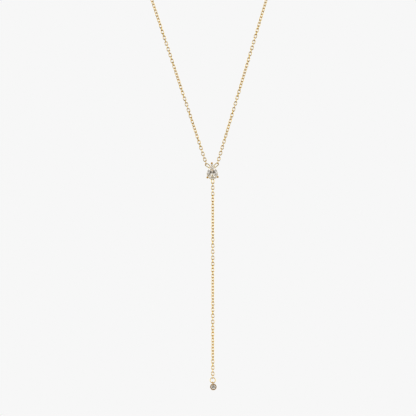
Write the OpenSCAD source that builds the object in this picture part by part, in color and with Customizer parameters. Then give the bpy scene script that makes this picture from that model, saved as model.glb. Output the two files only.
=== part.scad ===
// Y necklace: two arms of fine cable chain meet at a pear stone, and a straight
// drop of the same chain carries a small round stone at its end.
// It hangs in a V from its closed clasp, and the front faces -Y.
// Millimetres, +Z up. The origin is the middle of the clasp, at the top of the loop.

/* [Neck loop] */
// Length of the loop, from where the lines of the arms cross round through the clasp
loop_length = 450; // [400:5:600]
// Lean of the left arm from plumb, in degrees
left_lean = 18.34; // [12:0.01:26]
// Lean of the right arm from plumb, in degrees
right_lean = 16.61; // [12:0.01:26]

/* [Chain links] */
// Thickness of the wire of a link
link_wire = 0.3; // [0.24:0.01:0.34]
// Width across a link
link_w = 1.34; // [1.3:0.02:1.8]
// Step from one link to the next
link_step = 1.222; // [1.15:0.002:1.5]
// Length of the drop chain
drop_length = 78.76; // [40:0.02:120]
// Clear gap where one wire hangs in another
hook_gap = 0.1; // [0.06:0.01:0.12]

/* [Pear stone] */
// Radius of the stone's round end
pear_r = 2.2; // [2:0.05:2.6]
// Height of its point above the centre of the round end
pear_tip = 4; // [3.6:0.05:4.4]
// Radius of its two long sides
pear_side_r = 10; // [9:0.1:12]
// Height of its lowest point, the culet, above the centre of the round end
pear_culet = 0.7; // [0.4:0.05:1]
// Height of its crown above the girdle
pear_crown = 0.65; // [0.5:0.01:0.8]
// Depth of its pavilion below the girdle
pear_pavilion = 1.75; // [1.5:0.01:1.8]
// Width of its table as a share of the whole stone
table_share = 0.56; // [0.5:0.01:0.64]
// Thickness of a stone's girdle
girdle_h = 0.12; // [0.08:0.01:0.16]
// Clear gap between a stone and the metal round it
stone_gap = 0.04; // [0.03:0.01:0.08]

/* [Pear setting] */
// Tilt of the hanging pear, its point towards the left arm, in degrees
pear_tilt = 2.8; // [0:0.1:6]
// Distance of the girdle in front of the chain
girdle_rise = 0.6; // [0.55:0.01:0.8]
// Width of the two rails under the stone
rail_w = 0.4; // [0.34:0.01:0.5]
// Thickness of the rails, front to back
rail_h = 0.35; // [0.3:0.01:0.4]
// Gap between the culet and the back rail behind it
culet_gap = 0.1; // [0.06:0.01:0.3]
// Thickness of the prongs
prong_d = 0.4; // [0.34:0.01:0.5]
// Bead on the end of each prong
bead_d = 0.84; // [0.76:0.01:0.96]
// How far the lower prongs sit below the centre of the round end, in degrees
prong_angle = 33; // [25:1:42]
// Length of the two upper loops
loop_l = 2.45; // [2.3:0.05:3]
// Length of the bottom loop
bottom_loop_l = 2.1; // [2:0.05:2.8]
// Width of the loops
loop_w = 1.36; // [1.3:0.02:1.8]
// Thickness of the wire of the loops
loop_wire = 0.36; // [0.32:0.01:0.42]
// Lean of the upper loops from the pear's axis, in degrees
loop_lean = 51; // [42:1:56]

/* [End drop] */
// Outer diameter of the jump ring
ring_d = 2.4; // [2.2:0.05:3.2]
// Thickness of the wire of the jump ring
ring_wire = 0.34; // [0.28:0.01:0.38]
// Outer diameter of the bezel
bezel_d = 2.6; // [2.5:0.02:3.2]
// Thickness of the bezel's wall
bezel_wall = 0.26; // [0.22:0.01:0.32]
// Depth of the bezel, front to back
bezel_h = 1.25; // [1.2:0.01:1.5]
// Outer diameter of the bezel's eye
eye_d = 1.2; // [1.18:0.01:1.4]
// Thickness of the wire of the eye
eye_wire = 0.3; // [0.24:0.01:0.32]
// Swing of the hanging bezel, its foot towards the right, in degrees
bezel_swing = 8; // [0:1:12]
// Height of the round stone's crown
round_crown = 0.3; // [0.22:0.01:0.34]
// Depth of the round stone's pavilion
round_pavilion = 0.82; // [0.6:0.01:0.84]

/* [Clasp] */
// Outer diameter of the clasp
clasp_d = 5.5; // [5:0.1:8]
// Thickness of the clasp's tube
clasp_tube = 0.9; // [0.8:0.05:1.1]
// Outer diameter of the clasp's eye
clasp_eye_d = 1.5; // [1.4:0.05:1.8]
// Thickness of the wire of the clasp's eye
clasp_eye_wire = 0.35; // [0.3:0.01:0.4]
// Outer diameter of the ring that the clasp closes on
clasp_ring_d = 3; // [2.8:0.1:4]
// Thickness of the wire of that ring
clasp_ring_wire = 0.45; // [0.4:0.01:0.5]
// Length of the clasp's thumb knob
knob_l = 0.9; // [0.7:0.05:1.3]

/* [Hidden] */
gold = "goldenrod";
crystal = "lightcyan";
wire_fn = 24;    // roundness of wires and beads
gem_fn = 6;      // points along each eighth of a round girdle
facets = 8;      // main facets round a stone
way = 180 / PI;  // degrees in a radian

// One wire hooked in another: the distance between the two centre lines
function hooked(a, b) = (a + b) / 2 + hook_gap;

// A point of the pear's own plane, x to the right and y towards its tip, turned with the hanging pear
function hung(p) = [p.x * cos(pear_tilt) - p.y * sin(pear_tilt), p.x * sin(pear_tilt) + p.y * cos(pear_tilt)];
function unit(a) = [cos(a), sin(a)];
function mirrored(p) = [-p.x, p.y];

// Outlines: a round end of radius r about the middle, two long sides of radius s and a tip at
// height h. They are given as [r, h, s]. A round outline has its tip at height r.
pear = [pear_r, pear_tip, pear_side_r];
function join_angle(o) = asin((o[2] * o[2] - pow(o[2] - o[0], 2) - o[1] * o[1]) / (2 * o[1] * (o[2] - o[0])));
function side_centre(o) = -(o[2] - o[0]) * unit(join_angle(o));
function tip_angle(o, out = 0) = acos(-side_centre(o).x / (o[2] + out));
function on_side(o, a, out = 0) = side_centre(o) + (o[2] + out) * unit(a);

// The outline moved outwards by out, as points: the right side, the left side, the round end
function outline(o, out = 0) =
    let (join = join_angle(o), tip = tip_angle(o, out), n = 2 * gem_fn, m = 8 * gem_fn)
    concat([for (i = [0:n - 1]) on_side(o, join + (tip - join) * i / n, out)],
           [for (i = [n:-1:1]) mirrored(on_side(o, join + (tip - join) * i / n, out))],
           [for (i = [0:m - 1]) (o[0] + out) * unit(180 - join + (180 + 2 * join) * i / m)]);

// The outline's point at angle a from the middle, and the angle of its normal there
function is_low(o, p) = p.y <= o[0] * sin(join_angle(o)) + 0.0001;
function edge_point(o, a) =
    let (low = o[0] * unit(a), c = cos(a) > 0 ? side_centre(o) : mirrored(side_centre(o)), b = c * unit(a))
    is_low(o, low) ? low : (b + sqrt(b * b - c * c + o[2] * o[2])) * unit(a);
function edge_normal(o, a) =
    let (p = edge_point(o, a), c = is_low(o, p) ? [0, 0] : cos(a) > 0 ? side_centre(o) : mirrored(side_centre(o)))
    atan2(p.y - c.y, p.x - c.x);

// Cut stones, with the girdle at z = 0 and the table up. k is the place of the culet.
// A main facet holds the outline's tangent at its own girdle point and runs in towards the
// table or the culet. Its neighbour meets it in a ridge, which this gives at a share of the way in.
function flat(p, z) = [p.x, p.y, z];
function main_run(o, k, a, inner) = (1 - inner) * (edge_point(o, a) - k) * unit(edge_normal(o, a));
function ridge(o, k, a, b, inner, share) =
    let (m = unit(edge_normal(o, a)), n = unit(edge_normal(o, b)),
         c = edge_point(o, a) * m - share * main_run(o, k, a, inner),
         d = edge_point(o, b) * n - share * main_run(o, k, b, inner),
         det = m.x * n.y - m.y * n.x)
    [(c * n.y - d * m.y) / det, (m.x * d - n.x * c) / det];

// How far a half facet falls from its chord a-b to the outline's point p, where it climbs
// by rise from the chord to the point q
function off_chord(p, a, b) = let (v = b - a) abs(v.x * (p.y - a.y) - v.y * (p.x - a.x)) / norm(v);
function dips(p, a, b, q, rise) = rise * off_chord(p, a, b) / off_chord(q, a, b);

star_share = 0.46;   // height of the stars' lower corners as a share of the crown
half_share = 0.78;   // depth of the lower halves as a share of the pavilion
cuts = 3;            // girdle points along one half facet

module brilliant(o, k, crown, pavilion) {
    step = 360 / facets;
    n = 2 * facets;
    start = 90 - step / 2;   // a main facet stands on each side of the point
    up = girdle_h / 2;
    main = function (i) start + i * step;
    corner = function (h) edge_point(o, start + h * step / 2);
    star = [for (i = [0:facets - 1]) ridge(o, k, main(i), main(i + 1), table_share, star_share)];
    deep = [for (i = [0:facets - 1]) ridge(o, k, main(i), main(i + 1), 0, half_share)];
    spots = [for (h = [0:n - 1], j = [0:cuts - 1]) edge_point(o, start + (h + j / cuts) * step / 2)];
    high = [for (h = [0:n - 1], j = [0:cuts - 1]) let (p = spots[h * cuts + j])
        flat(p, up - dips(p, corner(h), corner(h + 1), star[floor(h / 2)], star_share * crown))];
    low = [for (h = [0:n - 1], j = [0:cuts - 1]) let (p = spots[h * cuts + j])
        flat(p, -up + dips(p, corner(h), corner(h + 1), deep[floor(h / 2)], half_share * pavilion))];
    table = [for (i = [0:facets - 1]) flat(k + table_share * (edge_point(o, main(i)) - k), up + crown)];
    points = concat(table, [for (p = star) flat(p, up + star_share * crown)], high, low,
                    [for (p = deep) flat(p, -up - half_share * pavilion)], [flat(k, -up - pavilion)]);
    m = n * cuts;
    hi = 2 * facets;
    lo = hi + m;
    dp = lo + m;
    culet = dp + facets;
    next = function (i) (i + 1) % facets;
    last = function (i) (i + facets - 1) % facets;
    along = function (h) [for (j = [0:cuts]) (h * cuts + j) % m];
    faces = concat(
        [[for (i = [facets - 1:-1:0]) i]],
        [for (i = [0:facets - 1]) [i, next(i), facets + i]],
        [for (i = [0:facets - 1]) [i, facets + i, hi + 2 * i * cuts, facets + last(i)]],
        [for (h = [0:n - 1]) concat([facets + floor(h / 2)], [for (j = [cuts:-1:0]) hi + along(h)[j]])],
        [for (j = [0:m - 1]) [hi + j, hi + (j + 1) % m, lo + (j + 1) % m, lo + j]],
        [for (h = [0:n - 1]) concat([dp + floor(h / 2)], [for (j = along(h)) lo + j])],
        [for (i = [0:facets - 1]) [culet, dp + last(i), lo + 2 * i * cuts, dp + i]]);
    polyhedron(points, faces, convexity = 4);
}

// A closed oval of round wire, long along y, lying in the plane of x and y
module oval(l, w, wire) {
    bend = (w - wire) / 2;
    straight = l - w;
    for (end = [0, 180]) {
        rotate(end) translate([0, straight / 2])
            rotate_extrude(angle = 180, $fn = wire_fn) translate([bend, 0]) circle(d = wire, $fn = wire_fn);
        rotate(end) translate([bend, straight / 2]) rotate([90, 0, 0]) cylinder(d = wire, h = straight, $fn = wire_fn);
    }
}

module round_ring(d, wire) {
    rotate_extrude($fn = 2 * wire_fn) translate([(d - wire) / 2, 0]) circle(d = wire, $fn = wire_fn);
}

// Stands a flat shape up: x to the right, y up, its face towards the front
module standing() { rotate([90, 0, 0]) children(); }

// Links
link_l = link_step + 2 * link_wire + hook_gap;
link_bow = (link_l - link_wire) / 2;   // from a link's middle to the middle of its bow
module link() { standing() oval(link_l, link_w, link_wire); }

// The pear's loops. Their feet lie on the rail's outer edge.
foot_in = 0.02;      // how far inside the stone's edge the feet lie
foot_share = 0.61;   // place of the upper feet along the long sides
foot_angle = join_angle(pear) + foot_share * (tip_angle(pear, -foot_in) - join_angle(pear));
loop_way = [sin(loop_lean), cos(loop_lean)];
loop_middle = on_side(pear, foot_angle, -foot_in) + (loop_l - loop_wire) / 2 * loop_way;
loop_bow = loop_middle + (loop_l - loop_w) / 2 * loop_way;
bottom_middle = [0, -(pear_r - foot_in) - (bottom_loop_l - loop_wire) / 2];
bottom_bow = bottom_middle - [0, (bottom_loop_l - loop_w) / 2];

// The two arms start from the bows of the upper loops. Their lines cross below the pear.
bow_left = hung(mirrored(loop_bow));
bow_right = hung(loop_bow);
cross_z = (bow_left.x - bow_right.x + bow_left.y * tan(left_lean) + bow_right.y * tan(right_lean))
          / (tan(left_lean) + tan(right_lean));
cross_x = bow_right.x - (bow_right.y - cross_z) * tan(right_lean);

// The loop: both arms run straight up to a circle that closes it
half_v = (left_lean + right_lean) / 2;
lean_off = (left_lean - right_lean) / 2;
far = loop_length / (2 * cos(half_v) + sin(half_v) * (PI + 2 * half_v / way));
round_r = far * sin(half_v);
arm_l = far * cos(half_v);
axis_way = [-sin(lean_off), cos(lean_off)];
crossing = -(far + round_r) * axis_way;
round_mid = crossing + far * axis_way;
pear_mid = crossing - [cross_x, cross_z];

// The way of an arm, s along it from the crossing, sign -1 on the left and 1 on the right
function arm_lean(sign) = sign < 0 ? left_lean : right_lean;
function way_lean(s, sign) = arm_lean(sign) - max(0, s - arm_l) / round_r * way;
function on_way(s, sign) =
    let (a = way_lean(s, sign))
    s <= arm_l ? crossing + s * [sign * sin(a), cos(a)] : round_mid + round_r * [sign * cos(a), -sin(a)];
module at_way(s, sign) {
    p = on_way(s, sign);
    translate([p.x, 0, p.y]) rotate([0, sign * way_lean(s, sign), 0]) children();
}

// Places along the arms, measured from the crossing
loop_reach = (loop_w - loop_wire) / 2 - hooked(loop_wire, link_wire);
function first_link(sign) = norm((sign < 0 ? bow_left : bow_right) - [cross_x, cross_z]) + loop_reach + link_bow;
eye_out = (clasp_d + clasp_eye_d) / 2 - 0.6 * clasp_eye_wire;   // from the clasp's middle to its eye's
ring_out = (clasp_d + clasp_ring_d) / 2 - clasp_tube - hook_gap - clasp_ring_wire;
function last_link(sign) = loop_length / 2 - link_bow + (sign < 0
    ? -eye_out - (clasp_eye_d - clasp_eye_wire) / 2 + hooked(clasp_eye_wire, link_wire)
    : -ring_out - (clasp_ring_d - clasp_ring_wire) / 2 + hooked(clasp_ring_wire, link_wire));
function arm_links(sign) = round((last_link(sign) - first_link(sign)) / link_step) + 1;
function link_place(i, sign) =
    first_link(sign) + (last_link(sign) - first_link(sign)) * i / (arm_links(sign) - 1);

// Twist of the arms: [share of the arm's chain, degrees turned]. The last row closes the clasp.
twist_rows = [[0, 0], [0.023, 0], [0.112, 90], [0.228, 180], [0.3, 226], [0.36, 236]];
function end_turn(sign) = (sign < 0 ? 180 : 270) - 90 * ((arm_links(sign) - 1) % 2);
function arm_twist(i, sign) = lookup(i / (arm_links(sign) - 1), concat(twist_rows, [[1, end_turn(sign)]]));
function quarter(i) = 90 * (1 - i % 2);   // every other link stands edge-on

// The stretch between the end links, as a tube that their flats just fill
tube_rings = 40;
tube_sides = 8;
tube_r = (link_w / 2 + 0.02) / cos(180 / tube_sides);
arc_rings = 30;   // rings of the round stretch
module tube(sign) {
    start = first_link(sign) + link_wire;
    end = last_link(sign) - link_wire;
    places = concat([for (i = [0:tube_rings - arc_rings - 1]) start + (arm_l - start) * i / (tube_rings - arc_rings)],
                    [for (i = [0:arc_rings - 1]) arm_l + (end - arm_l) * i / (arc_rings - 1)]);
    points = [for (s = places, j = [0:tube_sides - 1])
        let (p = on_way(s, sign), a = sign * way_lean(s, sign), b = (j + 0.5) * 360 / tube_sides)
        [p.x + tube_r * cos(b) * cos(a), tube_r * sin(b), p.y - tube_r * cos(b) * sin(a)]];
    sides = [for (i = [0:tube_rings - 2], j = [0:tube_sides - 1])
        let (a = i * tube_sides + j, b = i * tube_sides + (j + 1) % tube_sides)
        [a, a + tube_sides, b + tube_sides, b]];
    foot = [for (j = [0:tube_sides - 1]) j];
    head = [for (j = [tube_sides - 1:-1:0]) (tube_rings - 1) * tube_sides + j];
    polyhedron(points, concat(sides, [foot, head]), convexity = 8);
}

module arm(sign) {
    last = arm_links(sign) - 1;
    color(gold) {
        tube(sign);
        for (i = [0, last])
            at_way(link_place(i, sign), sign) rotate(quarter(i) + arm_twist(i, sign)) link();
    }
}

module neck_chain_left() { arm(-1); }

module neck_chain_right() { arm(1); }

// The drop, plumb below the pear's bottom loop
drop_top = pear_mid + hung(bottom_bow) - [0, (loop_w - loop_wire) / 2 - hooked(loop_wire, link_wire) + link_bow];
drop_links = round((drop_length - link_l) / link_step) + 1;
drop_step = (drop_length - link_l) / (drop_links - 1);
drop_foot = drop_top - [0, drop_length - link_l];

// Twist of the drop: [share of its length, degrees turned]
drop_rows = [[0, 0], [0.027, 0], [0.085, 30], [0.23, 55], [0.31, 78], [0.365, 90], [0.41, 100],
             [0.475, 122], [0.645, 158], [0.713, 180], [0.755, 203], [0.88, 238], [0.98, 270], [1, 270]];
drop_end = quarter(drop_links - 1);   // the last link stands edge-on in the jump ring
function drop_twist(i) = lookup(i / (drop_links - 1), drop_rows) + (i == drop_links - 1 ? drop_end : 0);

module drop_chain() {
    color(gold)
        for (i = [0:drop_links - 1])
            translate([drop_top.x, 0, drop_top.y - i * drop_step]) rotate(quarter(i) + drop_twist(i)) link();
}

// The pear, in its own plane: x to the right, y to its tip, z to the front
module in_pear() {
    translate([pear_mid.x, 0, pear_mid.y]) rotate([0, -pear_tilt, 0]) standing() children();
}

module pear_rail(out, z) {
    translate([0, 0, z - rail_h]) linear_extrude(rail_h) difference() {
        polygon(outline(pear, out));
        polygon(outline(pear, out - rail_w));
    }
}

back_in = 1.25;   // how far inside the stone's edge the back rail lies
rail_in = 0.05;   // how far inside it the front rail lies
back_z = girdle_rise - girdle_h / 2 - pear_pavilion - culet_gap;
prong_out = prong_d / 2 + stone_gap;
knee = 0.04;    // how much thicker a prong is at its knee, just below the girdle
filed = 0.02;   // how much thinner it is above the knee
bead_z = girdle_rise + girdle_h / 2 + sqrt(pow(bead_d / 2 + stone_gap, 2) - prong_out * prong_out);

module rod(a, b, d) {
    v = b - a;
    translate(a) rotate([0, acos(v.z / norm(v)), atan2(v.y, v.x)]) cylinder(d = d, h = norm(v), $fn = wire_fn);
}

// A prong from the back rail at foot: out and up to its knee, then past the girdle to its bead
module prong(foot, head) {
    bend = flat(head, girdle_rise - girdle_h - prong_d / 2);
    bead = flat(head, bead_z);
    rod(flat(foot, back_z - rail_h / 2), bend, prong_d);
    rod(bend, bead, prong_d - filed);
    translate(bend) sphere(d = prong_d + knee, $fn = wire_fn);
    translate(bead) sphere(d = bead_d, $fn = wire_fn);
}

module pear_setting() {
    color(gold) in_pear() {
        pear_rail(-rail_in, 0);
        pear_rail(-back_in, back_z);
        back_line = back_in + rail_w / 2;
        prong([0, on_side(pear, tip_angle(pear, -back_line), -back_line).y], [0, pear_tip + prong_out]);
        for (a = [-prong_angle, 180 + prong_angle])
            prong((pear_r - back_line) * unit(a), (pear_r + prong_out) * unit(a));
        for (side = [-1, 1])
            translate([side * loop_middle.x, loop_middle.y]) rotate(-side * loop_lean) oval(loop_l, loop_w, loop_wire);
        translate(bottom_middle) oval(bottom_loop_l, loop_w, loop_wire);
    }
}

module pear_stone() {
    color(crystal) in_pear() translate([0, 0, girdle_rise])
        brilliant(pear, [0, pear_culet], pear_crown, pear_pavilion);
}

// The end drop: a jump ring through the last link, and the bezel hanging in it
ring_mid = drop_foot - [0, link_bow - hooked(link_wire, ring_wire) + (ring_d - ring_wire) / 2];
eye_mid = ring_mid - [0, (ring_d - ring_wire) / 2 - hooked(ring_wire, eye_wire) + (eye_d - eye_wire) / 2];
eye_sunk = 1.1 * eye_wire;   // how deep the eye is soldered into the bezel's wall
bezel_drop = (bezel_d + eye_d) / 2 - eye_sunk;
round_r_out = bezel_d / 2 - bezel_wall - stone_gap;   // radius of the round stone
round_girdle = bezel_h / 2 - 0.18;                     // its girdle, below the rim
lip = 0.1;                                             // how far the rim folds over the stone

module drop_ring() {
    color(gold) translate([ring_mid.x, 0, ring_mid.y]) standing() round_ring(ring_d, ring_wire);
}

module in_bezel() {
    translate([eye_mid.x, 0, eye_mid.y]) rotate([0, -bezel_swing, 0]) translate([0, 0, -bezel_drop])
        standing() children();
}

module drop_bezel() {
    r = bezel_d / 2;
    bore = r - bezel_wall;
    rim = bezel_h / 2;
    seat = round_girdle - girdle_h / 2 - stone_gap;
    floor = seat - round_pavilion;
    color(gold) in_bezel() {
        difference() {
            union() {
                rotate_extrude($fn = 2 * wire_fn) polygon([
                    [0, -rim], [r - 0.2, -rim], [r - 0.06, -rim + 0.14], [r, -rim + 0.4],
                    [r, rim - 0.18], [r - 0.08, rim], [0, rim]]);
                translate([0, bezel_drop]) rotate([0, 90, 0]) round_ring(eye_d, eye_wire);
            }
            // the hollow under the stone, its seat, the wall round its girdle and the folded lip
            rotate_extrude($fn = 2 * wire_fn) polygon([
                [0, floor], [bore - 0.55, floor], [bore - 0.2, seat - 0.2], [bore, seat],
                [bore, round_girdle + girdle_h / 2 + stone_gap], [bore - lip, rim - 0.02],
                [bore - lip, rim + 1], [0, rim + 1]]);
        }
    }
}

module drop_stone() {
    r = round_r_out;
    color(crystal) in_bezel() translate([0, 0, round_girdle])
        brilliant([r, r, 4 * r], [0, 0], round_crown, round_pavilion);
}

// The clasp at the top of the loop, one plain closed ring with its eye and thumb knob
function near_top(d, sign) = on_way(loop_length / 2 - d, sign);
module clasp() {
    eye = near_top(eye_out, -1);
    tube_mid = (clasp_d - clasp_tube) / 2;
    color(gold) standing() {
        round_ring(clasp_d, clasp_tube);
        translate(eye) round_ring(clasp_eye_d, clasp_eye_wire);
        rotate(55) translate([tube_mid, 0]) rotate([0, 90, 0]) {
            cylinder(d = 0.45 * clasp_tube, h = clasp_tube / 2 + knob_l, $fn = wire_fn);
            translate([0, 0, clasp_tube / 2 + knob_l]) sphere(d = 0.75 * clasp_tube, $fn = wire_fn);
        }
    }
}

module clasp_ring() {
    color(gold) at_way(loop_length / 2 - ring_out, 1) rotate(90) standing() round_ring(clasp_ring_d, clasp_ring_wire);
}

neck_chain_left();
neck_chain_right();
drop_chain();
pear_setting();
pear_stone();
drop_ring();
drop_bezel();
drop_stone();
clasp();
clasp_ring();
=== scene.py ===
"""The looks of a y necklace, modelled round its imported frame.

Two arms of fine cable chain meet at a pear stone, and a straight drop of the same chain carries a
small round stone. Pieces are modelled in millimetres in their own upright frame, x to the right,
z up and the front towards -y, then put in place and brought to metres.
"""

import math
import random
from contextlib import contextmanager

import bmesh
import bpy
from bpy.props import FloatProperty, FloatVectorProperty, IntProperty, PointerProperty
from mathutils import Matrix, Vector


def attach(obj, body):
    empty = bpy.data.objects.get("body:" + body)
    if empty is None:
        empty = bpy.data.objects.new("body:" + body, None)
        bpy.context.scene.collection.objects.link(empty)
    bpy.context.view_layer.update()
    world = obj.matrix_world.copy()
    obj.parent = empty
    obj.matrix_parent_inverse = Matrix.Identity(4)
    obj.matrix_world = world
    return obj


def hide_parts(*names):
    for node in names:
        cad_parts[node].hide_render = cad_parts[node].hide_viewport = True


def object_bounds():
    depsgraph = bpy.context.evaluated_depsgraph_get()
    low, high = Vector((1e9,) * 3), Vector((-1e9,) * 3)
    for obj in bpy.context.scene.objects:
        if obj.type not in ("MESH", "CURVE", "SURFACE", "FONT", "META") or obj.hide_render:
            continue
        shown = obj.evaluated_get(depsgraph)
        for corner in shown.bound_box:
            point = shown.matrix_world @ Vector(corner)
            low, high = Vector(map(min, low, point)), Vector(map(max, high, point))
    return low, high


bl_info = {
    "name": "Y Necklace",
    "version": (1, 0, 0),
    "blender": (4, 5, 0),
    "location": "View3D > Sidebar > Necklace",
    "description": "Chains, pear setting, end drop and clasp of a y necklace",
    "category": "Object",
}

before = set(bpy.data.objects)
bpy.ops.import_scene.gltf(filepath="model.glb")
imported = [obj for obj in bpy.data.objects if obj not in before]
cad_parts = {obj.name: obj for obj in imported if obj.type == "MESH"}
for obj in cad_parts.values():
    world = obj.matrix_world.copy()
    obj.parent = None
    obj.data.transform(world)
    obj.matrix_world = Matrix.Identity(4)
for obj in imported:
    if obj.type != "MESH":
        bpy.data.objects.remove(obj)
CAD_BOX = [[float(n) for n in corner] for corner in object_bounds()]
MM = 0.001

# Places from the part's source, in millimetres, as (x, z)
CROSSING = (2.911, -192.819)     # where the lines of the arms cross
ROUND_MID = (0.672, -44.530)     # middle of the round top of the loop
ROUND_R = 44.535
ARM_L = 141.462                  # length of the straight stretch of an arm
PEAR_MID = (3.018, -189.769)
DROP_TOP = (3.185, -194.066)     # first link of the drop
DROP_STEP = 1.21965
DROP_LINKS = 64
RING_MID = (3.185, -272.325)
EYE_MID = (3.185, -273.385)
ARM_LINKS = 175
LOOP_HALF = 225                  # from the crossing up to the top of the loop

# Small distances that several pieces share
LINK_GAP = 0.1                   # between pieces that hang in each other
STONE_GAP = 0.04                 # between a stone and its metal
HALF_GIRDLE = 0.06               # half the height of a stone's girdle

# The arms: sign of their side, lean from plumb in degrees, places of the first and last link from the
# crossing on, and how far the last link is turned
ARMS = {
    "left": {"sign": -1, "lean": 18.34, "first": 8.015, "last": 220.749, "end_turn": 180},
    "right": {"sign": 1, "lean": 16.61, "first": 8.169, "last": 220.589, "end_turn": 270},
}
# Twist of the chains: share of the chain's length, and degrees turned there
ARM_TWIST = [(0, 0), (0.023, 0), (0.112, 90), (0.228, 180), (0.3, 226), (0.36, 236)]
DROP_TWIST = [(0, 0), (0.027, 0), (0.085, 30), (0.23, 55), (0.31, 78), (0.365, 90), (0.41, 100),
              (0.475, 122), (0.645, 158), (0.713, 180), (0.755, 203), (0.88, 238), (0.98, 270), (1, 270)]


def length(name, description, millimetres):
    """A length that a user may change, kept in metres."""
    return FloatProperty(name=name, description=description, default=millimetres * MM,
                         min=0, unit="LENGTH", precision=5)


def turn(name, description, degrees):
    return FloatProperty(name=name, description=description, default=math.radians(degrees),
                         unit="ROTATION")


def colour(name, description, rgb):
    return FloatVectorProperty(name=name, description=description, default=rgb, size=3,
                               min=0, max=1, subtype="COLOR")


def share(name, description, value):
    return FloatProperty(name=name, description=description, default=value, min=0, max=1,
                         subtype="FACTOR")


class NecklaceChain(bpy.types.PropertyGroup):
    """Sizes of the links"""
    wire: length("Wire", "Thickness of the wire of a link", 0.3)
    width: length("Link width", "Width across a link", 1.34)
    long: length("Link length", "Length of a link", 1.922)
    bow_parts: IntProperty(name="Bow parts", description="Parts in each half-round end", default=6)
    wire_sides: IntProperty(name="Wire sides", description="Sides of a link's wire", default=6)
    yaw: turn("Loose yaw", "How far a link hangs turned from its row", 5)
    tilt: turn("Loose tilt", "How far a link leans from its row", 1.4)


class NecklacePear(bpy.types.PropertyGroup):
    """Sizes of the pear's setting"""
    round_r: length("Round end", "Radius of the stone's round end", 2.2)
    tip: length("Point", "Height of its point above the middle of the round end", 4.0)
    side_r: length("Side radius", "Radius of its two long sides", 10.0)
    hang: turn("Tilt", "Tilt of the hanging pear, its point to the left", 2.8)
    girdle: length("Girdle rise", "Distance of the girdle in front of the chain", 0.6)
    rail_w: length("Rail width", "Width of the two rails", 0.4)
    rail_h: length("Rail depth", "Thickness of the rails, front to back", 0.35)
    front_in: length("Front rail inset", "How far inside the stone's edge the front rail lies", 0.05)
    back_in: length("Back rail inset", "How far inside the stone's edge the back rail lies", 1.25)
    back_y: length("Back rail place", "Distance of the back rail's face behind the chain", 1.31)
    prong: length("Prong", "Thickness of the prongs", 0.4)
    bead: length("Bead", "Bead on the end of each prong", 0.84)
    prong_angle: turn("Prong angle", "How far the lower prongs sit below the middle", 33)
    loop_wire: length("Loop wire", "Thickness of the wire of the loops", 0.36)
    loop_w: length("Loop width", "Width of the loops", 1.36)
    loop_l: length("Loop length", "Length of the two upper loops", 2.45)
    bottom_l: length("Bottom loop", "Length of the bottom loop", 2.1)
    loop_lean: turn("Loop lean", "Lean of the upper loops from the pear's axis", 51)


class NecklaceDrop(bpy.types.PropertyGroup):
    """Sizes of the end drop"""
    ring_d: length("Jump ring", "Outer diameter of the jump ring", 2.4)
    ring_wire: length("Ring wire", "Thickness of its wire", 0.34)
    bezel_d: length("Bezel", "Outer diameter of the bezel", 2.6)
    wall: length("Wall", "Thickness of the bezel's wall", 0.26)
    depth: length("Depth", "Depth of the bezel, front to back", 1.25)
    lip: length("Lip", "How far the rim folds over the stone", 0.1)
    eye_d: length("Eye", "Outer diameter of the bezel's eye", 1.2)
    eye_wire: length("Eye wire", "Thickness of the wire of the eye", 0.3)
    hang: turn("Swing", "Swing of the hanging bezel, its foot to the right", 8)


class NecklaceClasp(bpy.types.PropertyGroup):
    """Sizes of the clasp"""
    round_d: length("Clasp", "Outer diameter of the clasp", 5.5)
    tube: length("Tube", "Thickness of its tube", 0.9)
    eye_d: length("Eye", "Outer diameter of its eye", 1.5)
    eye_wire: length("Eye wire", "Thickness of the wire of its eye", 0.35)
    ring_d: length("End ring", "Outer diameter of the ring that it closes on", 3.0)
    ring_wire: length("End ring wire", "Thickness of that ring's wire", 0.45)
    knob: length("Knob", "Length of the thumb knob", 0.9)
    knob_at: turn("Knob place", "Where the knob stands, up from the right", 55)


class NecklaceFinish(bpy.types.PropertyGroup):
    """Colours of the metal and the stones"""
    gold: colour("Gold", "Polished gold", (1.0, 0.83, 0.36))
    deep: colour("Deep gold", "Gold in its darker, worn patches", (0.93, 0.72, 0.25))
    # Darker gold that is painted shade where links hang in each other, and on beads, loop ends, rims and
    # rings
    rubbed: colour("Painted shade gold", "Gold where links, beads and rims rub", (0.58, 0.33, 0.035))
    polish: share("Roughness", "Roughness of the polished gold", 0.16)
    stone: colour("Stone", "Colour of the clear stones", (0.985, 0.98, 0.97))
    veil: colour("Veil", "Colour of a stone's faintly duller patches", (0.96, 0.955, 0.945))
    bending: FloatProperty(name="Bending", description="How strongly a stone bends light", default=1.96)


class NecklaceStage(bpy.types.PropertyGroup):
    """Camera, floor and light"""
    view: length("View", "Width of the picture at the necklace", 166.4)
    distance: length("Distance", "Distance of the camera", 1000)
    middle_x: FloatProperty(name="Middle, across", description="Middle of the picture, to the right",
                            default=1.275 * MM, unit="LENGTH", precision=5)
    middle_z: FloatProperty(name="Middle, up", description="Middle of the picture, upwards",
                            default=-203.41 * MM, unit="LENGTH", precision=5)
    floor_drop: length("Floor", "Distance of the floor below the lowest point", 22)
    floor_r: length("Floor radius", "Radius of the floor", 138)
    floor_h: length("Floor thickness", "Thickness of the floor", 6)
    floor_edge: length("Floor edge", "Rounding of the floor's edge", 1.5)
    light_turns: IntProperty(name="Light turns", description="How often light may turn inside a stone",
                             default=48)
    pale: colour("Backdrop", "Colour behind the necklace", (0.93, 0.93, 0.93))
    shaded: colour("Shaded floor", "Colour of the floor's darker patches", (0.9, 0.9, 0.895))


GROUPS = {
    "necklace_chain": NecklaceChain, "necklace_pear": NecklacePear, "necklace_drop": NecklaceDrop,
    "necklace_clasp": NecklaceClasp, "necklace_finish": NecklaceFinish, "necklace_stage": NecklaceStage,
}


def sizes(context, group):
    return getattr(context.scene, "necklace_" + group)


# Modelling by hand, in steps

def clear_selection():
    bpy.ops.object.select_all(action="DESELECT")


def make_active(obj):
    clear_selection()
    obj.select_set(True)
    bpy.context.view_layer.objects.active = obj


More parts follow.
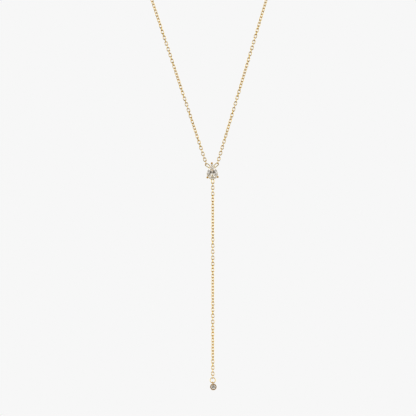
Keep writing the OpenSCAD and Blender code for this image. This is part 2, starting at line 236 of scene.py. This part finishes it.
@contextmanager
def editing(obj):
    make_active(obj)
    bpy.ops.object.mode_set(mode="EDIT")
    yield obj
    bpy.ops.object.mode_set(mode="OBJECT")


def pick(obj, kind, test):
    """Selects the verts, edges or faces that pass the test, and nothing else."""
    kinds = ("verts", "edges", "faces")
    bpy.context.tool_settings.mesh_select_mode = tuple(kind == k for k in kinds)
    bm = bmesh.from_edit_mesh(obj.data)
    bm.select_mode = {kind[:-1].upper()}
    for k in kinds:
        for element in getattr(bm, k):
            element.select_set(False)
    for element in getattr(bm, kind):
        if test(element):
            element.select_set(True)
    bm.select_flush_mode()
    bmesh.update_edit_mesh(obj.data)


def spin(steps, angle, centre, axis):
    """Spins the selection by the right-hand rule, which the operator's angle runs against."""
    bpy.ops.mesh.spin(steps=steps, angle=-angle, center=centre, axis=axis)


def middle(element):
    return sum((v.co for v in element.verts), Vector()) / len(element.verts)


def add(shape, name, **how):
    """Adds a primitive with nothing else selected, and gives it its place in its mesh."""
    clear_selection()
    getattr(bpy.ops.mesh, "primitive_%s_add" % shape)(**how)
    obj = bpy.context.object
    obj.name = name
    bpy.ops.object.transform_apply(location=True, rotation=True, scale=True)
    return obj


def place(obj, matrix):
    make_active(obj)
    obj.matrix_world = matrix @ obj.matrix_world
    bpy.ops.object.transform_apply(location=True, rotation=True, scale=True)
    return obj


def join(name, parts):
    clear_selection()
    for part in parts:
        part.select_set(True)
    bpy.context.view_layer.objects.active = parts[0]
    if len(parts) > 1:
        bpy.ops.object.join()
    obj = bpy.context.object
    obj.name = obj.data.name = name
    bpy.ops.object.transform_apply(location=True, rotation=True, scale=True)
    return obj


def copied(model):
    twin = model.copy()
    twin.data = model.data.copy()
    bpy.context.collection.objects.link(twin)
    return twin


def apply_modifier(obj, kind, **how):
    make_active(obj)
    modifier = obj.modifiers.new(kind.lower(), kind)
    for key, value in how.items():
        setattr(modifier, key, value)
    bpy.ops.object.modifier_apply(modifier=modifier.name)


def fuse(obj, voxel, rounds):
    """Melts the parts of a piece into one skin with small fillets, as solder leaves them."""
    apply_modifier(obj, "REMESH", mode="VOXEL", voxel_size=voxel)
    apply_modifier(obj, "SMOOTH", factor=0.5, iterations=rounds)


def finish_piece(obj, material, replaced):
    """Brings a piece to metres and hands it to the frame."""
    place(obj, Matrix.Scale(MM, 4))
    bpy.ops.object.shade_smooth()
    obj.data.materials.clear()
    obj.data.materials.append(material)
    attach(obj, "root")
    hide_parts(replaced)
    return obj


def upright(x, z, lean=0.0):
    """Puts an upright piece at x and z, turned by lean about the line of sight."""
    return Matrix.Translation((x, 0, z)) @ Matrix.Rotation(lean, 4, "Y")


def lookup(share_along, rows):
    """Reads a value between the rows of a table."""
    for (a, low), (b, high) in zip(rows, rows[1:]):
        if share_along <= b:
            return low + (high - low) * (share_along - a) / (b - a)
    return rows[-1][1]


def oval(name, long, width, wire, bow_parts, sides):
    """An oval of round wire: a torus split in two halves, moved apart and bridged."""
    obj = add("torus", name, major_segments=2 * bow_parts, minor_segments=sides,
              major_radius=(width - wire) / 2, minor_radius=wire / 2,
              rotation=(math.pi / 2, 0, 0), generate_uvs=False)
    half = (long - width) / 2
    with editing(obj):
        for way in (1, -1):
            pick(obj, "faces", lambda f: way * middle(f).z > 0)
            if way == 1:
                bpy.ops.mesh.split()
            bpy.ops.transform.translate(value=(0, 0, way * half))
        for side in (1, -1):
            pick(obj, "edges", lambda e: e.is_boundary and side * middle(e).x > 0)
            bpy.ops.mesh.bridge_edge_loops()
        bpy.ops.mesh.select_all(action="SELECT")
        bpy.ops.mesh.normals_make_consistent(inside=False)
    return obj


# Materials

def blank_material(name):
    material = bpy.data.materials.new(name)
    material.use_nodes = True
    tree = material.node_tree
    tree.nodes.clear()
    shader = tree.nodes.new("ShaderNodeBsdfPrincipled")
    output = tree.nodes.new("ShaderNodeOutputMaterial")
    tree.links.new(shader.outputs["BSDF"], output.inputs["Surface"])
    return material, tree, shader


def noise(tree, scale, detail=3.0, roughness=0.5):
    """Noise on the piece's own coordinates, its scale in features to a metre."""
    coordinates = tree.nodes.new("ShaderNodeTexCoord")
    texture = tree.nodes.new("ShaderNodeTexNoise")
    texture.inputs["Scale"].default_value = scale
    texture.inputs["Detail"].default_value = detail
    texture.inputs["Roughness"].default_value = roughness
    tree.links.new(coordinates.outputs["Object"], texture.inputs["Vector"])
    return texture.outputs["Fac"]


def spread(tree, value, low, high, start=0.3, end=0.7):
    """Carries a value's stretch from start to end over to low and high."""
    node = tree.nodes.new("ShaderNodeMapRange")
    node.inputs["From Min"].default_value = start
    node.inputs["From Max"].default_value = end
    node.inputs["To Min"].default_value = low
    node.inputs["To Max"].default_value = high
    tree.links.new(value, node.inputs["Value"])
    return node.outputs["Result"]


def mixed(tree, factor, first, second):
    """Mixes two colours, each a value or a socket."""
    node = tree.nodes.new("ShaderNodeMix")
    node.data_type = "RGBA"
    tree.links.new(factor, node.inputs["Factor"])
    for socket, value in (("A", first), ("B", second)):
        target = [i for i in node.inputs if i.name == socket and i.type == "RGBA"][0]
        if isinstance(value, bpy.types.NodeSocket):
            tree.links.new(value, target)
        else:
            target.default_value = (*value, 1)
    return [o for o in node.outputs if o.type == "RGBA"][0]


def attribute(tree, name):
    node = tree.nodes.new("ShaderNodeAttribute")
    node.attribute_name = name
    return node.outputs["Fac"]


def gold_material(finish, name, patch, grain, extra_rough=0.0, by_link=False):
    """Polished gold: paler and deeper patches, darker gold painted as shade where parts meet, and a fine
    grain in its polish.
    """
    material, tree, shader = blank_material(name)
    shader.inputs["Metallic"].default_value = 1.0
    patches = spread(tree, noise(tree, patch), 0.0, 0.8)
    if by_link:
        total = tree.nodes.new("ShaderNodeMath")
        total.operation = "MULTIPLY_ADD"
        total.inputs[1].default_value = 0.5
        total.use_clamp = True
        tree.links.new(attribute(tree, "link_shade"), total.inputs[0])
        tree.links.new(patches, total.inputs[2])
        patches = total.outputs["Value"]
    metal = mixed(tree, patches, finish.gold, finish.deep)
    # Mixes in the darker gold where a piece is marked with painted shade, where parts meet
    tree.links.new(mixed(tree, attribute(tree, "rubbed"), metal, finish.rubbed), shader.inputs["Base Color"])
    rough = finish.polish + extra_rough
    tree.links.new(spread(tree, noise(tree, grain, 4.0, 0.6), 0.7 * rough, 1.5 * rough),
                   shader.inputs["Roughness"])
    bump = tree.nodes.new("ShaderNodeBump")
    bump.inputs["Strength"].default_value = 0.25
    bump.inputs["Distance"].default_value = 0.004 * MM
    tree.links.new(noise(tree, 2.5 * grain, 4.0, 0.6), bump.inputs["Height"])
    tree.links.new(bump.outputs["Normal"], shader.inputs["Normal"])
    return material


def stone_material(finish):
    """A clear cut stone, with a breath of wear on its facets."""
    material, tree, shader = blank_material("cut_stone")
    shader.inputs["Transmission Weight"].default_value = 1.0
    shader.inputs["IOR"].default_value = finish.bending
    tint = mixed(tree, spread(tree, noise(tree, 400), 0.0, 1.0), finish.stone, finish.veil)
    tree.links.new(tint, shader.inputs["Base Color"])
    tree.links.new(spread(tree, noise(tree, 2500), 0.0, 0.012), shader.inputs["Roughness"])
    return material


class NECKLACE_OT_materials(bpy.types.Operator):
    """Makes the gold of the chains, the setting and the clasp, and the clear stones"""
    bl_idname = "necklace.materials"
    bl_label = "Metal and stones"

    def execute(self, context):
        finish = sizes(context, "finish")
        gold_material(finish, "chain_gold", patch=300, grain=9000, by_link=True)
        gold_material(finish, "setting_gold", patch=700, grain=7000)
        gold_material(finish, "clasp_gold", patch=450, grain=6000, extra_rough=0.04)
        clear = stone_material(finish)
        for name in ("pear_stone", "drop_stone"):
            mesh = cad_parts[name].data
            mesh.materials.clear()
            mesh.materials.append(clear)
        return {"FINISHED"}


def paint_shade(obj, amount):
    """Marks how much painted shade each point of a piece gets, from 0 to 1."""
    marks = obj.data.attributes.new("rubbed", "FLOAT", "POINT")
    marks.data.foreach_set("value", [min(1.0, max(0.0, amount(v.co))) for v in obj.data.vertices])


# Chains

def link_model(chain):
    """One link, with painted shade towards the middle of its bows, where the links hang in each other."""
    long, width, wire = chain.long / MM, chain.width / MM, chain.wire / MM
    link = oval("link", long, width, wire, chain.bow_parts, chain.wire_sides)
    start, end = (long - width) / 2, long / 2 - wire
    # Painted shade on the bows, where each link hangs in the next
    paint_shade(link, lambda co: (abs(co.z) - start) / (end - start))
    return link


def string_of_links(name, chain, places, seed):
    """Copies the link to each place, a little loose in its row, and joins them."""
    model = link_model(chain)
    random_source = random.Random(seed)
    links = []
    for i, (at, turned) in enumerate(places):
        loose = 0.0 if i in (0, len(places) - 1) else 1.0
        yaw = turned + loose * random_source.uniform(-chain.yaw, chain.yaw)
        tilt = loose * random_source.uniform(-chain.tilt, chain.tilt)
        link = copied(model)
        link.matrix_world = at @ Matrix.Rotation(yaw, 4, "Z") @ Matrix.Rotation(tilt, 4, "X")
        shade = link.data.attributes.new("link_shade", "FLOAT", "POINT")
        value = random_source.random()
        shade.data.foreach_set("value", [value] * len(link.data.vertices))
        links.append(link)
    bpy.data.objects.remove(model)
    return join(name, links)


def on_arm(arm, s):
    """The place on an arm's line, s from the crossing, and its lean there, in degrees."""
    lean = arm["lean"] - math.degrees(max(0, s - ARM_L) / ROUND_R)
    a = math.radians(lean)
    if s <= ARM_L:
        x = CROSSING[0] + s * arm["sign"] * math.sin(a)
        z = CROSSING[1] + s * math.cos(a)
    else:
        x = ROUND_MID[0] + ROUND_R * arm["sign"] * math.cos(a)
        z = ROUND_MID[1] - ROUND_R * math.sin(a)
    return x, z, arm["sign"] * a


def quarter(i):
    """Every other link stands edge-on."""
    return 90 * (1 - i % 2)


class NECKLACE_OT_arms(bpy.types.Operator):
    """Hangs the links of both arms on their lines"""
    bl_idname = "necklace.arms"
    bl_label = "Neck chains"

    def execute(self, context):
        chain = sizes(context, "chain")
        for seed, (side, arm) in enumerate(ARMS.items(), 11):
            last = ARM_LINKS - 1
            end_twist = arm["end_turn"] - 90 * (last % 2)
            rows = ARM_TWIST + [(1, end_twist)]
            places = []
            for i in range(ARM_LINKS):
                s = arm["first"] + (arm["last"] - arm["first"]) * i / last
                turned = quarter(i) + lookup(i / last, rows)
                places.append((upright(*on_arm(arm, s)), math.radians(turned)))
            links = string_of_links("links_" + side, chain, places, seed)
            finish_piece(links, bpy.data.materials["chain_gold"], "neck_chain_" + side)
        return {"FINISHED"}


class NECKLACE_OT_drop_links(bpy.types.Operator):
    """Hangs the links of the drop, plumb below the pear"""
    bl_idname = "necklace.drop_links"
    bl_label = "Drop chain"

    def execute(self, context):
        places = []
        for i in range(DROP_LINKS):
            turned = quarter(i) + lookup(i / (DROP_LINKS - 1), DROP_TWIST)
            places.append((upright(DROP_TOP[0], DROP_TOP[1] - i * DROP_STEP), math.radians(turned)))
        links = string_of_links("links_drop", sizes(context, "chain"), places, 17)
        finish_piece(links, bpy.data.materials["chain_gold"], "drop_chain")
        return {"FINISHED"}


# The pear's setting

def pear_join(pear):
    """The angle at which the round end meets the long sides, and the middle of the right side's arc."""
    r, h, s = pear.round_r / MM, pear.tip / MM, pear.side_r / MM
    join_at = math.asin((s * s - (s - r) ** 2 - h * h) / (2 * h * (s - r)))
    return join_at, Vector((-(s - r) * math.cos(join_at), 0, -(s - r) * math.sin(join_at)))


def side_point(pear, a, out):
    """The point at the angle a on the right long side, moved out from the stone's edge."""
    join_at, centre = pear_join(pear)
    reach = pear.side_r / MM + out
    return centre + Vector((reach * math.cos(a), 0, reach * math.sin(a)))


def tip_angle(pear, out):
    """The angle at which that side meets the middle line."""
    _, centre = pear_join(pear)
    return math.acos(-centre.x / (pear.side_r / MM + out))


def rail(pear, name, inset, y):
    """A rail: its section spun round the round end, and on along both sides to the point."""
    width, depth = pear.rail_w / MM, pear.rail_h / MM
    out = -inset - width / 2
    join_at, centre = pear_join(pear)
    r = pear.round_r / MM + out
    middle_y = y + depth / 2
    obj = add("plane", name, size=1, rotation=(0, -join_at, 0))
    place(obj, Matrix.Translation((r * math.cos(join_at), middle_y, r * math.sin(join_at)))
          @ Matrix.Rotation(-join_at, 4, "Y") @ Matrix.Diagonal((width, depth, 1, 1))
          @ Matrix.Rotation(join_at, 4, "Y"))
    side_turn = tip_angle(pear, out + width / 2) - join_at
    start = Vector((r * math.cos(join_at), middle_y, r * math.sin(join_at)))
    with editing(obj):
        bpy.ops.mesh.select_all(action="SELECT")
        spin(32, math.pi + 2 * join_at, (0, middle_y, 0), (0, 1, 0))
        spin(8, side_turn, (-centre.x, middle_y, centre.z), (0, 1, 0))
        pick(obj, "faces", lambda f: (middle(f) - start).length < 0.001)
        spin(8, -side_turn, (centre.x, middle_y, centre.z), (0, 1, 0))
        bpy.ops.mesh.select_all(action="SELECT")
        bpy.ops.mesh.normals_make_consistent(inside=False)
    return obj


def prong(pear, name, span, foot_y, knee_y, bead_y):
    """A prong in its own plane, outwards along x: up from the back rail, round its knee, to its bead."""
    wire = pear.prong / MM
    bend = wire                              # radius of the knee
    run, rise = span - bend, foot_y - knee_y
    climb = math.atan2(rise, run) - math.asin(bend / math.hypot(run, rise))
    straight = math.sqrt(run * run + rise * rise - bend * bend)
    obj = add("circle", name, vertices=16, radius=wire / 2, fill_type="NGON",
              rotation=(0, math.pi / 2, 0))
    place(obj, Matrix.Translation((0, foot_y, 0)) @ Matrix.Rotation(-climb, 4, "Z"))
    with editing(obj):
        bpy.ops.mesh.select_all(action="SELECT")
        bpy.ops.mesh.extrude_region_move(TRANSFORM_OT_translate={
            "value": (straight * math.cos(climb), -straight * math.sin(climb), 0)})
        spin(6, climb - math.pi / 2, (run, knee_y, 0), (0, 0, 1))
        bpy.ops.mesh.extrude_region_move(TRANSFORM_OT_translate={"value": (0, bead_y - knee_y, 0)})
        bpy.ops.mesh.select_all(action="SELECT")
        bpy.ops.mesh.normals_make_consistent(inside=False)
    bead = add("uv_sphere", name + "_bead", segments=24, ring_count=16, radius=pear.bead / MM / 2,
               location=(span, bead_y, 0))
    return join(name, [obj, bead])


class NECKLACE_OT_setting(bpy.types.Operator):
    """Builds the pear's basket: two rails, three prongs and three loops, soldered into one"""
    bl_idname = "necklace.setting"
    bl_label = "Pear setting"

    def execute(self, context):
        pear = sizes(context, "pear")
        parts = [rail(pear, "front_rail", pear.front_in / MM, 0),
                 rail(pear, "back_rail", pear.back_in / MM, pear.back_y / MM)]
        parts += self.prongs(pear)
        loops, ends = self.loops(pear)
        basket = join("pear_basket", parts + loops)
        fuse(basket, voxel=0.045, rounds=3)
        bead_fade = 0.12                     # over which the beads turn to painted shade
        end_reach, end_fade = 0.7, 0.3       # how far the painted shade reaches on the loops' ends, and over what it fades
        # Painted shade: darker gold on the beads in front of the stone and at the loops' far ends, where the
        # chains hang
        paint_shade(basket, lambda co: max((-pear.girdle / MM - co.y) / bead_fade,
                                           *((end_reach - (co - end).length) / end_fade for end in ends)))
        place(basket, upright(*PEAR_MID, -pear.hang))
        finish_piece(basket, bpy.data.materials["setting_gold"], "pear_setting")
        return {"FINISHED"}

    def prongs(self, pear):
        """Three prongs, from the back rail past the stone's edge, each to its bead."""
        r, girdle = pear.round_r / MM, pear.girdle / MM
        foot_in = pear.back_in / MM + pear.rail_w / MM / 2
        out = pear.prong / MM / 2 + STONE_GAP
        foot_y = pear.back_y / MM + pear.rail_h / MM / 2
        behind = 0.12                        # how far behind the girdle the prongs' knees end
        knee_y = behind + pear.prong / MM / 2 - girdle
        bead_y = -girdle - HALF_GIRDLE - math.sqrt((pear.bead / MM / 2 + STONE_GAP) ** 2 - out * out)
        top_foot = side_point(pear, tip_angle(pear, -foot_in), -foot_in).z
        low = pear.prong_angle
        claws = []
        for name, angle, foot, head in (("top_prong", math.pi / 2, top_foot, pear.tip / MM + out),
                                        ("right_prong", -low, r - foot_in, r + out),
                                        ("left_prong", math.pi + low, r - foot_in, r + out)):
            claw = prong(pear, name, head - foot, foot_y, knee_y, bead_y)
            claws.append(place(claw, Matrix.Rotation(-angle, 4, "Y") @ Matrix.Translation((foot, 0, 0))))
        return claws

    def loops(self, pear):
        """Two upper loops for the arms and one below for the drop, and the far end of each."""
        r, wire, width = pear.round_r / MM, pear.loop_wire / MM, pear.loop_w / MM
        foot_edge = 0.02                     # how far inside the stone's edge the loops' feet lie
        foot_share = 0.61                    # how far up the long sides the upper loops stand
        join_at, _ = pear_join(pear)
        foot_at = join_at + foot_share * (tip_angle(pear, -foot_edge) - join_at)
        root = side_point(pear, foot_at, -foot_edge)
        long, bottom = pear.loop_l / MM, pear.bottom_l / MM
        way = Vector((math.sin(pear.loop_lean), 0, math.cos(pear.loop_lean)))
        upper = root + (long - wire) / 2 * way
        far = root + (long - wire / 2) * way
        loops, ends = [], []
        model = oval("upper_loop", long, width, wire, bow_parts=16, sides=16)
        for side in (1, -1):
            loops.append(place(copied(model), upright(side * upper.x, upper.z, side * pear.loop_lean)))
            ends.append(Vector((side * far.x, 0, far.z)))
        bpy.data.objects.remove(model)
        lower = oval("bottom_loop", bottom, width, wire, bow_parts=16, sides=16)
        loops.append(place(lower, upright(0, -(r - foot_edge) - (bottom - wire) / 2)))
        ends.append(Vector((0, 0, foot_edge + wire / 2 - r - bottom)))
        return loops, ends


# The end drop

def ring(name, diameter, wire, parts=48, sides=14):
    """A round jump ring with the hairline of its closed seam."""
    obj = add("torus", name, major_segments=parts, minor_segments=sides,
              major_radius=(diameter - wire) / 2, minor_radius=wire / 2,
              rotation=(math.pi / 2, 0, 0), generate_uvs=False)
    seam_at = math.radians(60)
    seam = Vector((math.cos(seam_at), 0, math.sin(seam_at))) * (diameter - wire) / 2
    pinch = 0.93                             # the wire's thickness at the seam, as a share
    with editing(obj):
        pick(obj, "verts", lambda v: (v.co - seam).length < 0.51 * wire)
        bpy.ops.transform.resize(value=(pinch, pinch, pinch), center_override=seam)
    return obj


class NECKLACE_OT_rings(bpy.types.Operator):
    """Makes the jump ring of the drop and the ring that the clasp closes on"""
    bl_idname = "necklace.rings"
    bl_label = "Rings"

    def execute(self, context):
        drop, clasp = sizes(context, "drop"), sizes(context, "clasp")
        jump = ring("jump_ring", drop.ring_d / MM, drop.ring_wire / MM)
        bare, fade = 0.5, 0.4                # painted shade above and below, where the chain and the eye hang
        paint_shade(jump, lambda co: (abs(co.z) - bare) / fade)
        place(jump, upright(*RING_MID))
        finish_piece(jump, bpy.data.materials["setting_gold"], "drop_ring")
        outer, wire = clasp.ring_d / MM, clasp.ring_wire / MM
        reach = (clasp.round_d / MM + outer) / 2 - clasp.tube / MM - LINK_GAP - wire
        where = on_arm(ARMS["right"], LOOP_HALF - reach)
        end = place(ring("end_ring", outer, wire),
                    upright(*where) @ Matrix.Rotation(math.pi / 2, 4, "Z"))
        finish_piece(end, bpy.data.materials["clasp_gold"], "clasp_ring")
        return {"FINISHED"}


class NECKLACE_OT_bezel(bpy.types.Operator):
    """Turns the bezel: a cup with a folded rim, and its eye"""
    bl_idname = "necklace.bezel"
    bl_label = "Bezel"

    def execute(self, context):
        drop = sizes(context, "drop")
        r, front = drop.bezel_d / MM / 2, -drop.depth / MM / 2
        edge_r = 0.2                         # rounding of the outer edges
        reach = (drop.bezel_d + drop.eye_d) / MM / 2 - 1.1 * drop.eye_wire / MM
        bezel = join("bezel", [self.cup(drop, edge_r), self.eye(drop, reach)])
        fuse(bezel, voxel=0.03, rounds=2)
        rim_fade, eye_fade = 0.15, 0.1       # over which the rim and the eye turn to painted shade
        # Painted shade: darker gold on the front rim over the stone and on the eye
        paint_shade(bezel, lambda co: max((front + edge_r - co.y) / rim_fade, (co.z - r) / eye_fade))
        place(bezel, upright(*EYE_MID, -drop.hang) @ Matrix.Translation((0, 0, -reach)))
        finish_piece(bezel, bpy.data.materials["setting_gold"], "drop_bezel")
        return {"FINISHED"}

    def cup(self, drop, edge_r):
        """A round cup, its hollow sunk from the front behind the folded lip."""
        r, wall, depth = drop.bezel_d / MM / 2, drop.wall / MM, drop.depth / MM
        front, back = -depth / 2, depth / 2
        sunk = 0.18                          # the stone's girdle behind the rim
        lip_r = 0.05                         # rounding of the lip
        girdle = front + sunk
        seat = girdle + HALF_GIRDLE + STONE_GAP
        bore = r - wall
        hollow = [(girdle - HALF_GIRDLE - STONE_GAP, bore), (seat, bore),    # place of the stone
                  (seat + 0.2, bore - 0.2), (seat + 0.82, bore - 0.55)]      # its seat, and the well
        cup = add("cylinder", "bezel_cup", vertices=64, radius=r, depth=depth,
                  rotation=(math.pi / 2, 0, 0))
        with editing(cup):
            pick(cup, "edges", lambda e: all(abs(v.co.y - back) < 0.001 for v in e.verts))
            bpy.ops.mesh.bevel(offset=edge_r, segments=4, profile=0.5)
            pick(cup, "faces", lambda f: abs(middle(f).y - front) < 0.001)
            bpy.ops.mesh.inset(thickness=wall + drop.lip / MM)
            for y, radius in hollow:
                self.sink(cup, y, radius)
            for near, far, rounding in ((bore, r, edge_r), (0, bore, lip_r)):
                pick(cup, "edges", lambda e: all(abs(v.co.y - front) < 0.001 for v in e.verts)
                     and near < middle(e).length < far)
                bpy.ops.mesh.bevel(offset=rounding, segments=4, profile=0.5)
        return cup

    def eye(self, drop, reach):
        """The eye above the cup, reach from its middle."""
        eye = add("torus", "bezel_eye", major_segments=48, minor_segments=16,
                  major_radius=(drop.eye_d - drop.eye_wire) / MM / 2, minor_radius=drop.eye_wire / MM / 2,
                  rotation=(0, math.pi / 2, 0), generate_uvs=False)
        return place(eye, Matrix.Translation((0, 0, reach)))

    def sink(self, cup, y, radius):
        """Extrudes the floor of the hollow to a depth y and brings it to a radius."""
        chosen = [f for f in bmesh.from_edit_mesh(cup.data).faces if f.select]
        centre = sum((middle(f) for f in chosen), Vector()) / len(chosen)
        reach = max((v.co - centre).length for f in chosen for v in f.verts)
        bpy.ops.mesh.extrude_region_move(TRANSFORM_OT_translate={"value": (0, y - centre.y, 0)})
        scale = radius / reach
        bpy.ops.transform.resize(value=(scale, 1, scale), center_override=(centre.x, y, centre.z))


# The clasp

class NECKLACE_OT_clasp(bpy.types.Operator):
    """Builds the closed clasp: a ring of tube, its eye and its thumb knob"""
    bl_idname = "necklace.clasp"
    bl_label = "Clasp"

    def execute(self, context):
        clasp = sizes(context, "clasp")
        tube, outer = clasp.tube / MM, clasp.round_d / MM
        body = add("torus", "clasp_body", major_segments=96, minor_segments=24,
                   major_radius=(outer - tube) / 2, minor_radius=tube / 2,
                   rotation=(math.pi / 2, 0, 0), generate_uvs=False)
        eye_wire = clasp.eye_wire / MM
        eye = add("torus", "clasp_eye", major_segments=48, minor_segments=16,
                  major_radius=(clasp.eye_d / MM - eye_wire) / 2, minor_radius=eye_wire / 2,
                  rotation=(math.pi / 2, 0, 0), generate_uvs=False)
        eye_out = (outer + clasp.eye_d / MM) / 2 - 0.6 * eye_wire
        x, z, _ = on_arm(ARMS["left"], LOOP_HALF - eye_out)
        place(eye, Matrix.Translation((x, 0, z)))
        knob_l = tube / 2 + clasp.knob / MM
        stem = add("cylinder", "clasp_stem", vertices=24, radius=0.225 * tube, depth=knob_l,
                   location=(0, 0, knob_l / 2))
        ball = add("uv_sphere", "clasp_ball", segments=32, ring_count=20, radius=0.375 * tube,
                   location=(0, 0, knob_l))
        knob = join("clasp_knob", [stem, ball])
        place(knob, Matrix.Rotation(math.pi / 2 - clasp.knob_at, 4, "Y")
              @ Matrix.Translation((0, 0, (outer - tube) / 2)))
        whole = join("clasp_ring_closed", [body, eye, knob])
        fuse(whole, voxel=0.05, rounds=3)
        finish_piece(whole, bpy.data.materials["clasp_gold"], "clasp")
        return {"FINISHED"}


# Stage

# The light that the metal and the stones see. Each patch of the tent has its level and its soft edges:
# what is measured along the way out, where the patch is still unlit and where it is fully lit.
TENT_DIM = (0.127, 0.108, 0.076)
TENT_TINT = (1, 0.98, 0.96)
TENT_PATCHES = [
    # above and below
    (0.53, [("steep", 0.55, 0.75)]),
    # over the camera
    (0.56, [("aside", 0.01, 0.1), ("up", 0.03, 0.13), ("up", 0.5, 0.4), ("back", 0.2, 0.0)]),
    # at both sides
    (1.74, [("aside", 0.6, 0.75), ("up", -0.32, -0.12), ("up", 0.9, 0.75), ("back", 0.8, 0.6)]),
    # the paper behind
    (0.93, [("back", 0.75, 0.92)]),
    # above and behind
    (1.11, [("back", 0.33, 0.53), ("up", 0.23, 0.43)]),
]


def soft_light(name, place_at, target, size, watts):
    bpy.ops.object.light_add(type="AREA", location=place_at)
    light = bpy.context.object
    light.name = name
    light.data.shape = "RECTANGLE"
    light.data.size, light.data.size_y = size
    light.data.energy = watts
    light.rotation_euler = (Vector(target) - Vector(place_at)).to_track_quat("-Z", "Y").to_euler()
    light.visible_camera = False
    return light


class NECKLACE_OT_stage(bpy.types.Operator):
    """Sets the camera, the pale floor and the soft studio light"""
    bl_idname = "necklace.stage"
    bl_label = "Stage"

    def execute(self, context):
        stage = sizes(context, "stage")
        self.camera(context, stage)
        context.scene.view_settings.view_transform = "Standard"
        paths = context.scene.cycles         # light turns many times in the tips of the stones
        paths.max_bounces = paths.transmission_bounces = paths.glossy_bounces = stage.light_turns
        self.floor(context, stage)
        self.world(context, stage)
        aim = (stage.middle_x, 0, stage.middle_z)
        soft_light("top", place_at=(0, -0.1, 0.6), target=aim, size=(0.5, 0.5), watts=0.6)
        return {"FINISHED"}

    def camera(self, context, stage):
        """Straight in front of the necklace."""
        clear_selection()
        bpy.ops.object.camera_add(location=(stage.middle_x, -stage.distance, stage.middle_z),
                                  rotation=(math.pi / 2, 0, 0))
        camera = context.object
        camera.data.lens = camera.data.sensor_width * stage.distance / stage.view
        context.scene.camera = camera

    def floor(self, context, stage):
        """A pale round floor below the end of the drop."""
        low = CAD_BOX[0][2] - stage.floor_drop
        clear_selection()
        bpy.ops.mesh.primitive_cylinder_add(vertices=96, radius=stage.floor_r, depth=stage.floor_h,
                                            location=(stage.middle_x, 0, low - stage.floor_h / 2))
        floor = context.object
        floor.name = "floor"
        with editing(floor):
            bpy.ops.mesh.select_all(action="SELECT")
            bpy.ops.mesh.bevel(offset=stage.floor_edge, segments=3)
        material, tree, shader = blank_material("pale_floor")
        tree.links.new(mixed(tree, spread(tree, noise(tree, 30), 0, 1), stage.pale, stage.shaded),
                       shader.inputs["Base Color"])
        shader.inputs["Roughness"].default_value = 0.7
        floor.data.materials.append(material)

    def world(self, context, stage):
        """A pale backdrop to the eye, and a dim tent with bright patches to the metal and the stones."""
        world = bpy.data.worlds.new("tent")
        context.scene.world = world
        world.use_nodes = True
        tree = world.node_tree
        tree.nodes.clear()
        output = tree.nodes.new("ShaderNodeOutputWorld")
        mix = tree.nodes.new("ShaderNodeMixShader")
        seen = tree.nodes.new("ShaderNodeLightPath")
        backdrop = tree.nodes.new("ShaderNodeBackground")
        backdrop.inputs["Color"].default_value = (*stage.pale, 1)
        tent = tree.nodes.new("ShaderNodeBackground")
        tree.links.new(seen.outputs["Is Camera Ray"], mix.inputs["Fac"])
        tree.links.new(tent.outputs["Background"], mix.inputs[1])
        tree.links.new(backdrop.outputs["Background"], mix.inputs[2])
        tree.links.new(mix.outputs["Shader"], output.inputs["Surface"])

        way = tree.nodes.new("ShaderNodeTexCoord")
        parts = tree.nodes.new("ShaderNodeSeparateXYZ")
        tree.links.new(way.outputs["Generated"], parts.inputs["Vector"])
        measures = {"aside": self.maths(tree, "ABSOLUTE", parts.outputs["X"]), "back": parts.outputs["Y"],
                    "up": parts.outputs["Z"], "steep": self.maths(tree, "ABSOLUTE", parts.outputs["Z"])}
        light = TENT_DIM
        for level, edges in TENT_PATCHES:
            lit = None
            for measure, unlit_at, lit_at in edges:
                edge = spread(tree, measures[measure], 0.0, 1.0, unlit_at, lit_at)
                edge.node.interpolation_type = "SMOOTHSTEP"
                lit = edge if lit is None else self.maths(tree, "MULTIPLY", lit, edge)
            light = mixed(tree, lit, light, tuple(level * part for part in TENT_TINT))
        tree.links.new(light, tent.inputs["Color"])
        tent.inputs["Strength"].default_value = 1.0

    def maths(self, tree, operation, first, second=None):
        node = tree.nodes.new("ShaderNodeMath")
        node.operation = operation
        tree.links.new(first, node.inputs[0])
        if second is not None:
            tree.links.new(second, node.inputs[1])
        return node.outputs["Value"]


class NECKLACE_PT_panel(bpy.types.Panel):
    """Lists the sizes and the steps of the necklace"""
    bl_idname = "NECKLACE_PT_panel"
    bl_label = "Y Necklace"
    bl_space_type = "VIEW_3D"
    bl_region_type = "UI"
    bl_category = "Necklace"

    def draw(self, context):
        for step in STEPS:
            self.layout.operator(step.bl_idname)
        for name in GROUPS:
            group = getattr(context.scene, name)
            box = self.layout.box()
            for key in group.__annotations__:
                box.prop(group, key)


STEPS = (NECKLACE_OT_materials, NECKLACE_OT_arms, NECKLACE_OT_drop_links, NECKLACE_OT_setting,
         NECKLACE_OT_rings, NECKLACE_OT_bezel, NECKLACE_OT_clasp, NECKLACE_OT_stage)


def register():
    for cls in (*GROUPS.values(), *STEPS, NECKLACE_PT_panel):
        bpy.utils.register_class(cls)
    for name, cls in GROUPS.items():
        setattr(bpy.types.Scene, name, PointerProperty(type=cls))


def unregister():
    for name in GROUPS:
        delattr(bpy.types.Scene, name)
    for cls in (NECKLACE_PT_panel, *reversed(STEPS), *reversed(GROUPS.values())):
        bpy.utils.unregister_class(cls)


def main():
    register()
    for step in STEPS:
        group, action = step.bl_idname.split(".")
        getattr(getattr(bpy.ops, group), action)()


if __name__ == "__main__":
    main()
